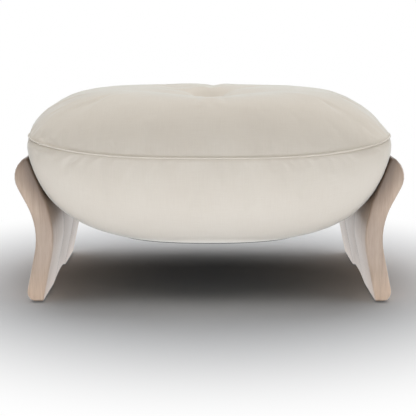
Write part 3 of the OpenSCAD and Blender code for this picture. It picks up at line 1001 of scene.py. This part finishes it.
@dataclass
class Cushion:
    """The stuffed cushion: two sewn halves, their piping and the button in the tuft."""

    form: CushionForm = field(default_factory=CushionForm)
    stuffing: Stuffing = field(default_factory=Stuffing)
    linen: LinenWeave = field(default_factory=LinenWeave)
    bead_radius: float = 1.9 * MM
    bead_out: float = 1.6 * MM
    bead_lift: float = 1.2 * MM
    bead_sides: int = 10
    bead_steps: int = 720
    corner_crowding: float = 8.0
    button_radius: float = 14 * MM
    button_rise: float = 7 * MM
    button_roll: float = 1.5 * MM
    button_z: float = 0.4056
    tuft_held: tuple[float, float] = (0.016, 0.040)
    base_held: tuple[float, float] = (0.55, 0.67)
    sewn: float = 9 * MM
    ease_reach: float = 75 * MM
    gathers: tuple[float, float] = (0.62, 0.38)
    gather_waves: tuple[float, ...] = (11, 2.1, 5, 0.7)
    panel_x: float = 0.28
    panel_front: float = 0.2455
    panel_clear: float = 0.262
    inside_x: float = 0.2
    side_gap: float = 0.8 * MM
    roll_depth: float = 1.8 * MM
    roll_reach: float = 7 * MM
    seam_gap: float = 0.3 * MM
    fan_rise: float = 6 * MM

    def pad_held(self, pad: Pad) -> np.ndarray:
        """Gives where a pad is sewn or stapled: at the seam, the tuft and the base."""
        if pad.upper:
            reach = np.hypot(pad.points[..., 0], pad.points[..., 1])
            middle = 1 - smooth_step(reach, *self.tuft_held)
        else:
            width = np.cos(np.radians(pad.turn)) ** self.form.belly_side
            middle = 1 - smooth_step(width, *self.base_held)
        return np.maximum(middle, 1 - smooth_step(pad.to_seam, 0.0, self.sewn))

    def pad_gathered(self, pad: Pad) -> np.ndarray:
        """Gives where a pad's cloth is eased into the seam, in uneven gathers, and so is too long."""
        mean, swing = self.gathers
        many, wander, few, shift = self.gather_waves
        uneven = mean + swing * np.sin(pad.angle * many + wander * np.sin(pad.angle * few + shift))
        return uneven * np.exp(-((pad.to_seam / self.ease_reach) ** 2))

    def clear_of_sides(self, points: np.ndarray) -> np.ndarray:
        """Presses the cloth flat against the wooden sides where it would pass into them.

        Args:
            points: A pad's settled points.

        Returns:
            The points, moved towards the middle wherever a side stands in their way.
        """
        sides = search_tree(("board_left", "board_right"))
        result = points.copy()
        flat = result.reshape(-1, 3)
        beside = (np.abs(flat[:, 0]) > self.panel_x) & (np.abs(flat[:, 1]) < self.panel_clear)
        for number in np.flatnonzero(beside):
            x, y, z = flat[number]
            hand = math.copysign(1.0, x)
            along = min(max(y, -self.panel_front), self.panel_front)
            found = sides.ray_cast(Vector((hand * self.inside_x, along, z)), Vector((hand, 0.0, 0.0)))[0]
            if found is None:
                continue
            share = 1 - float(smooth_step(abs(y), self.panel_front, self.panel_clear))
            over = max(abs(x) - abs(found.x) + self.side_gap, 0.0)
            flat[number, 0] -= hand * over * share
        return result

    def pad(self, name: str, upper: bool) -> bpy.types.Object:
        """Builds one half of the cushion.

        Args:
            name: The piece's name.
            upper: Whether it is the upper half.

        Returns:
            The finished piece.
        """
        pad = Pad(name, self.form, upper)
        pad.lay_out()
        points = pad.points
        points = swollen(pad, self.stuffing, self.pad_held(pad), self.pad_gathered(pad))
        points = self.clear_of_sides(points)
        rolled = self.roll_depth * np.maximum(1 - pad.to_seam / self.roll_reach, 0) ** 2
        points = points - pad.normals(pad.points) * rolled[..., None]
        points[..., 2] += self.seam_gap if upper else -self.seam_gap
        piece = pad.build(points)
        apply_modifier(piece, "SUBSURF", {"levels": 1, "render_levels": 1})
        close_rim(piece, self.form.seam_z + (self.fan_rise if upper else -self.fan_rise))
        return piece

    def piping(self) -> bpy.types.Object:
        """Sweeps the thin bead that is sewn in along the seam."""
        angle = np.linspace(0, math.tau, self.bead_steps, endpoint=False)
        angle = angle + math.radians(self.corner_crowding) * np.sin(4 * angle)
        line = self.form.skin(np.full(angle.shape, self.form.seam_turn), angle)
        along = np.roll(line, -1, axis=0) - np.roll(line, 1, axis=0)
        along /= np.linalg.norm(along, axis=1, keepdims=True)
        out = np.cross(along, [0.0, 0.0, 1.0])
        out /= np.linalg.norm(out, axis=1, keepdims=True)
        up = np.cross(out, along)
        line = line + out * (self.bead_out - self.roll_depth) + up * self.bead_lift
        run = np.concatenate([[0], np.cumsum(np.linalg.norm(np.diff(line, axis=0), axis=1))])
        rows, places, faces = [], [], []
        count = self.bead_steps
        for side in range(self.bead_sides):
            turn = math.tau * side / self.bead_sides
            rows.append(line + self.bead_radius * (math.cos(turn) * out + math.sin(turn) * up))
            places.append(np.stack([run, np.full(run.shape, self.bead_radius * turn)], -1))
            here, beyond = side * count, (side + 1) % self.bead_sides * count
            for step in range(count):
                ahead = (step + 1) % count
                faces.append((here + step, here + ahead, beyond + ahead, beyond + step))
        piece = new_piece("piping", np.concatenate(rows), faces, np.concatenate(places))
        with opened(piece) as shape:
            bmesh.ops.recalc_face_normals(shape, faces=shape.faces)
        return piece

    def button(self) -> bpy.types.Object:
        """Shapes the covered button that draws the crown in."""
        bpy.ops.object.select_all(action="DESELECT")
        bpy.ops.mesh.primitive_uv_sphere_add(
            segments=48, ring_count=24, radius=self.button_radius, location=(0, 0, 0)
        )
        piece = bpy.context.object
        piece.name = piece.data.name = "tuft_button_covered"
        bpy.ops.object.mode_set(mode="EDIT")
        bpy.ops.mesh.select_all(action="SELECT")
        bpy.ops.mesh.bisect(plane_co=(0, 0, 0), plane_no=(0, 0, 1), use_fill=True, clear_inner=True)
        bpy.ops.mesh.select_all(action="SELECT")
        flatness = self.button_rise / self.button_radius
        bpy.ops.transform.resize(value=(1, 1, flatness), center_override=(0, 0, 0))
        bpy.ops.transform.translate(value=(0, 0, self.button_z))
        bpy.ops.object.mode_set(mode="OBJECT")
        apply_modifier(piece, "BEVEL", {"width": self.button_roll, "segments": 3})
        while piece.data.uv_layers:
            piece.data.uv_layers.remove(piece.data.uv_layers[0])
        add_cloth_map(piece.data, np.array([vertex.co.xy for vertex in piece.data.vertices]))
        piece.data.shade_smooth()
        return piece

    def build(self) -> None:
        """Builds and dresses every piece of the cushion."""
        linen = self.linen.build()
        upper = self.pad("upper_cushion", True)
        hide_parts("cover_top", "foam_core")
        place_piece(upper, linen)
        lower = self.pad("lower_cushion", False)
        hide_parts("cover_lower", "foam_belly")
        place_piece(lower, linen)
        piping = self.piping()
        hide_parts("seam_piping")
        place_piece(piping, linen)
        button = self.button()
        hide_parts("tuft_button")
        place_piece(button, linen)


@dataclass
class BaseCloth:
    """The grey lining stapled over the underside, slack enough for faint ripples."""

    form: CushionForm = field(default_factory=CushionForm)
    reach: float = 0.562
    rings: int = 24
    thick: float = 0.8 * MM
    stand: float = 0.5 * MM
    sag: float = 1.2 * MM
    ripple: float = 0.7 * MM
    ripples: tuple[float, float] = (31, 17)
    area_share: float = 0.79
    finish: WovenStrip = WovenStrip("bonded_fibre_lining", "5A5957", "454442", 1.2 * MM, ribbed=False)

    def build(self) -> None:
        """Builds the cloth a little larger than its opening."""
        ring, angle = grid_rings(self.rings)
        share = ring / self.rings
        points = self.form.skin(self.form.turn_at(share * self.reach, False), angle)
        across, along = self.ripples
        waves = np.sin(points[..., 0] * across + 2 * np.sin(points[..., 1] * along)) * self.ripple
        points[..., 2] -= self.stand + self.thick + np.cos(share * math.pi / 2) * (self.sag + waves)
        piece = new_piece("base_lining", points, [(a, d, c, b) for a, b, c, d in grid_quads(self.rings)])
        apply_modifier(piece, "SOLIDIFY", {"thickness": self.thick, "offset": -1})
        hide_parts("base_cloth")
        place_piece(piece, self.finish.build())


# The wooden sides and the hidden fittings


@dataclass
class WoodenSides:
    """The two S-curved sides, each glued up from three boards."""

    rim: float = 2.4 * MM
    joint: float = 1.0 * MM
    end_from: float = 0.2
    sharp: float = 38.0
    smooth_below: float = 28.0
    same_spot: float = 0.01 * MM
    same_plane: float = 0.4
    outside_x: float = 0.6
    apart: float = 1.3
    fuller: tuple[float, float] = (12 * MM, 9 * MM)
    fuller_rise: tuple[float, float] = (0.185, 0.262)
    skin_depth: tuple[float, float] = (4 * MM, 30 * MM)
    crest_rise: tuple[float, float] = (0.265, 0.305)

    def fill_out(self, piece: bpy.types.Object) -> None:
        """Thickens the top of a board on the inside, up to the cushion that leans on it."""
        own = search_tree((piece.name,))
        verts = piece.data.vertices
        along = [vertex.co.y for vertex in verts]
        middle = (min(along) + max(along)) / 2
        widest = max(verts, key=lambda vertex: abs(vertex.co.x)).co
        hand = math.copysign(1.0, widest.x)
        inward, upward = self.fuller
        for vertex in verts:
            height = vertex.co.z
            start = Vector((hand * self.outside_x, middle, min(height, widest.z)))
            outer = own.ray_cast(start, Vector((-hand, 0.0, 0.0)))[0]
            if outer is None or height < self.fuller_rise[0]:
                continue
            depth = abs(outer.x) - abs(vertex.co.x)
            share = float(smooth_step(depth, *self.skin_depth) * smooth_step(height, *self.fuller_rise))
            vertex.co.x -= hand * inward * share
            vertex.co.z += upward * share * float(smooth_step(height, *self.crest_rise))

    def weigh_edges(self, piece: bpy.types.Object) -> None:
        """Marks how much each sharp edge is rounded: fully at the ends, less at the joints."""
        with opened(piece) as shape:
            weights = shape.edges.layers.float.new("bevel_weight_edge")
            for edge in shape.edges:
                if len(edge.link_faces) == 2 and edge.calc_face_angle(0.0) > math.radians(self.sharp):
                    first, second = (vert.co.y for vert in edge.verts)
                    joint = abs(first - second) < MM and abs(first + second) / 2 < self.end_from
                    edge[weights] = self.joint / self.rim if joint else 1.0

    def board(self, node: str, name: str) -> bpy.types.Object:
        """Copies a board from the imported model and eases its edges.

        Args:
            node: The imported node.
            name: The new piece's name.

        Returns:
            The finished piece.
        """
        piece = bpy.data.objects.new(name, bpy.data.objects[node].data.copy())
        piece.data.name = name
        bpy.context.scene.collection.objects.link(piece)
        only(piece)
        bpy.ops.object.mode_set(mode="EDIT")
        bpy.ops.mesh.select_all(action="SELECT")
        bpy.ops.mesh.remove_doubles(threshold=self.same_spot)
        bpy.ops.mesh.dissolve_limited(angle_limit=math.radians(self.same_plane))
        bpy.ops.object.mode_set(mode="OBJECT")
        self.fill_out(piece)
        self.weigh_edges(piece)
        apply_modifier(piece, "BEVEL", {"width": self.rim, "segments": 3, "limit_method": "WEIGHT"})
        bpy.ops.object.shade_smooth_by_angle(angle=math.radians(self.smooth_below))
        return piece

    def build(self) -> None:
        """Builds and dresses the six boards."""
        for number, hand in enumerate(("left", "right")):
            for plank in Plank:
                place = plank.name.lower()
                offset, tone = plank.value
                finish = LimedAsh(f"limed_ash_{hand}_{place}", offset + self.apart * number, tone).build()
                node = f"side_board_{hand}_{place}"
                piece = self.board(node, f"board_{hand}_{place}")
                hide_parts(node)
                place_piece(piece, finish)


@dataclass
class Fittings:
    """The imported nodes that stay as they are: the seat frame, its hardware and the glides."""

    nodes: dict[str, bpy.types.Object]

    def dress(self) -> None:
        """Gives each kept node the finish of the real piece."""
        rail_x = SawnTimber("planed_spruce_across", "D9BE93", "B08D5E", (1, 0, 0)).build()
        rail_y = SawnTimber("planed_spruce_along", "D6BA8E", "AB8859", (0, 1, 0)).build()
        block = SawnTimber("sawn_spruce_block", "DCC39A", "B5936A", (0, 0, 1)).build()
        dowel = SawnTimber("turned_beech_dowel", "E0C59E", "C39F70", (0, 1, 0), 2 * MM).build()
        nylon = MouldedPlastic("moulded_nylon", "1B1B1C", "3A3A3B").build()
        disc = MouldedPlastic("moulded_polypropylene_disc", "4A4A4C", "626264").build()
        webbing = WovenStrip("elastic_webbing", "8A6A4B", "5C432D", 2.5 * MM).build()
        cord = WovenStrip("waxed_twine", "E3DBC8", "C2B79D", 1.0 * MM).build()
        zinc = WorkedMetal("zinc_plated_steel", "C9CCD1", "9DA1A7", 0.3).build()
        tube = WorkedMetal("drawn_steel_tube", "A9ABAF", "84868A", 0.38).build()
        brass = WorkedMetal("turned_brass", "D9B96A", "B08F45", 0.28).build()
        finishes = {
            rail_x: ("frame_rail_front", "frame_rail_rear"),
            rail_y: ("frame_rail_left", "frame_rail_right", "cross_rail_left", "cross_rail_right"),
            block: ("corner_block",),
            dowel: ("board_dowels",),
            nylon: ("glide_left", "glide_right"),
            disc: ("tuft_anchor",),
            webbing: ("straps",),
            cord: ("tuft_cord",),
            zinc: ("glide_screws", "frame_screws", "side_bolts", "bolt_washers"),
            tube: ("bolt_spacers",),
            brass: ("bolt_inserts",),
        }
        for finish, starts in finishes.items():
            for name, node in self.nodes.items():
                if name.startswith(starts):
                    node.data.materials.clear()
                    node.data.materials.append(finish)
                    LOG.info("node %s: %s", name, finish.name)


# The studio


@dataclass(frozen=True)
class Softbox:
    """A lamp with a square front, which lights the floor too or the ottoman alone."""

    name: str
    place: tuple[float, float, float]
    aim: tuple[float, float, float]
    size: tuple[float, float]
    power: float
    colour: str = "FFFFFF"
    floor_too: bool = False

    def build(self) -> bpy.types.Object:
        """Adds the lamp, turned to its aim."""
        lamp = bpy.data.lights.new(self.name, "AREA")
        lamp.shape = "RECTANGLE"
        lamp.size, lamp.size_y = self.size
        lamp.energy = self.power
        lamp.color = linear_colour(self.colour)[:3]
        holder = bpy.data.objects.new(self.name, lamp)
        holder.location = self.place
        away = Vector(self.aim) - Vector(self.place)
        holder.rotation_euler = away.to_track_quat("-Z", "Y").to_euler()
        holder.visible_camera = False
        bpy.context.scene.collection.objects.link(holder)
        return holder


@dataclass
class Studio:
    """Camera, floor, lamps and world.

    The floor's paper has a painted shadow, a darker oval under the ottoman, which deepens its soft shadow.
    """

    camera_place: tuple[float, float, float] = (-0.0027, -2.215, 0.5689)
    camera_tilt: float = 10.5
    lens: float = 85.0
    floor_size: float = 24.0
    floor_tone: str = "E4E6E9"
    painted_shadow_tone: str = "A6A8AA"
    painted_shadow_reach: tuple[float, float] = (0.12, 0.34)
    painted_shadow_narrow: tuple[float, float, float] = (0.6, 1.0, 1.0)
    shadow_reach: tuple[float, float] = (0.34, 0.90)
    world_light: float = 0.01
    lamps: tuple[Softbox, ...] = (
        Softbox("overhead_softbox", (0.0, 0.55, 2.4), (0.0, 0.55, 0.0), (1.9, 1.4), 20.0, floor_too=True),
        Softbox("ceiling_scrim", (0.0, 0.6, 2.4), (0.0, 0.6, 0.0), (6.2, 3.8), 66.0, floor_too=True),
        Softbox("front_high", (0.0, -1.6, 1.9), (0.0, -0.1, 0.33), (2.4, 0.8), 7.5),
        Softbox("front_softbox", (0.0, -3.0, 0.45), (0.0, 0.0, 0.25), (2.6, 1.2), 20.0, "FFFBF4"),
        Softbox("floor_glow", (0.0, 0.0, 0.004), (0.0, 0.0, 1.0), (5.0, 5.0), 12.0, "EEF5FF"),
        Softbox("near_glow", (0.0, -0.9, 0.004), (0.0, -0.9, 1.0), (2.4, 1.0), 6.2, "F4F8FF"),
        Softbox("toe_glow", (0.0, -0.52, 0.02), (0.0, 0.0, 0.14), (1.3, 0.08), 0.55, "F4F8FF"),
        Softbox("belly_glow", (0.0, -0.24, 0.004), (0.0, -0.24, 1.0), (0.4, 0.3), 0.27, "EEF5FF"),
        Softbox("left_softbox", (-2.8, 0.1, 0.6), (0.0, 0.0, 0.25), (1.6, 1.4), 10.0),
        Softbox("right_softbox", (2.8, 0.1, 0.6), (0.0, 0.0, 0.25), (1.6, 1.4), 22.0),
        Softbox("rear_softbox", (0.0, 3.0, 0.6), (0.0, 0.0, 0.25), (2.4, 1.0), 12.0),
    )

    def away(self, add: Adder, place: Node | Socket, reach: tuple[float, float]) -> Node:
        """Gives a value that eases from 0 to 1 with the distance from the middle.

        Args:
            add: Adds a node to the material.
            place: Coordinates in metres.
            reach: Where it leaves 0 and where it comes to 1.

        Returns:
            The eased value.
        """
        length = add("ShaderNodeVectorMath", {"operation": "LENGTH"}, links={0: place})
        return add("ShaderNodeMapRange", EASED, span(*reach), {0: length.outputs["Value"]})

    def and_mirrored(self, add: Adder, ray: Any, seen: Node | Socket) -> Node:
        """Adds the rays that metal and glass send to those that see plain white.

        Args:
            add: Adds a node to the floor's material or to the world.
            ray: The light path's outputs.
            seen: How far other rays see plain white.

        Returns:
            How far any ray sees it.
        """
        for kind in ("Is Glossy Ray", "Is Transmission Ray"):
            seen = add("ShaderNodeMath", MAXIMUM, links={0: seen, 1: ray[kind]})
        return seen

    def floor(self) -> bpy.types.Object:
        """Lays the pale floor with a painted shadow under the ottoman; it turns to plain white away from
        it.
        """
        bpy.ops.object.select_all(action="DESELECT")
        bpy.ops.mesh.primitive_plane_add(size=self.floor_size, location=(0, 0, 0))
        plane = bpy.context.object
        plane.name = "studio_floor"
        material, add = new_material("studio_paper")
        place = add("ShaderNodeTexCoord").outputs["Object"]
        ray = add("ShaderNodeLightPath").outputs
        faded = add(
            "ShaderNodeMath", MULTIPLY,
            links={0: self.away(add, place, self.shadow_reach), 1: ray["Is Camera Ray"]},
        )
        seen = self.and_mirrored(add, ray, faded)
        # Painted shadow: the paper's tone darkens in an oval under the ottoman.
        oval = add("ShaderNodeVectorMath", MULTIPLY, {1: self.painted_shadow_narrow}, {0: place})
        core = self.away(add, oval, self.painted_shadow_reach)
        tones = ((0.0, self.painted_shadow_tone), (1.0, self.floor_tone))
        tone = add("ShaderNodeValToRGB", links={0: core}, stops=tones)
        paper = add("ShaderNodeBsdfDiffuse", values={"Roughness": 0.5}, links={"Color": tone})
        white = add("ShaderNodeEmission", values={"Color": WHITE, "Strength": 1.0})
        mixed = add("ShaderNodeMixShader", links={0: seen, 1: paper, 2: white})
        add("ShaderNodeOutputMaterial", links={"Surface": mixed})
        plane.data.materials.append(material)
        return plane

    def world(self) -> None:
        """Lights the room evenly, and shows as plain white behind the floor."""
        world = bpy.data.worlds.new("studio_room")
        world.use_nodes = True
        world.node_tree.nodes.clear()
        add = partial(add_node, world.node_tree)
        ray = add("ShaderNodeLightPath").outputs
        seen = self.and_mirrored(add, ray, ray["Is Camera Ray"])
        room = add("ShaderNodeBackground", values={"Color": WHITE, "Strength": self.world_light})
        white = add("ShaderNodeBackground", values={"Color": WHITE, "Strength": 1.0})
        mixed = add("ShaderNodeMixShader", links={0: seen, 1: room, 2: white})
        add("ShaderNodeOutputWorld", links={"Surface": mixed})
        bpy.context.scene.world = world

    def camera(self) -> None:
        """Sets the camera at the photograph's angle."""
        view = bpy.data.cameras.new("camera")
        view.lens = self.lens
        holder = bpy.data.objects.new("camera", view)
        holder.location = self.camera_place
        holder.rotation_euler = (math.radians(90 - self.camera_tilt), 0.0, 0.0)
        bpy.context.scene.collection.objects.link(holder)
        bpy.context.scene.camera = holder

    def build(self) -> None:
        """Builds the whole studio."""
        self.camera()
        floor = self.floor()
        self.world()
        ottoman = bpy.data.collections.new("lit_by_fill_lamps")
        for piece in bpy.context.scene.objects:
            if piece.type == "MESH" and piece is not floor:
                ottoman.objects.link(piece)
        for lamp in self.lamps:
            holder = lamp.build()
            if not lamp.floor_too:
                holder.light_linking.receiver_collection = ottoman
        bpy.context.scene.view_settings.view_transform = "Standard"


def main() -> None:
    """Builds the ottoman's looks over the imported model."""
    logging.basicConfig(level=logging.INFO, format="%(message)s")
    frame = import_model()
    WoodenSides().build()
    Cushion().build()
    BaseCloth().build()
    Fittings(frame["nodes"]).dress()
    Studio().build()


if __name__ == "__main__":
    main()
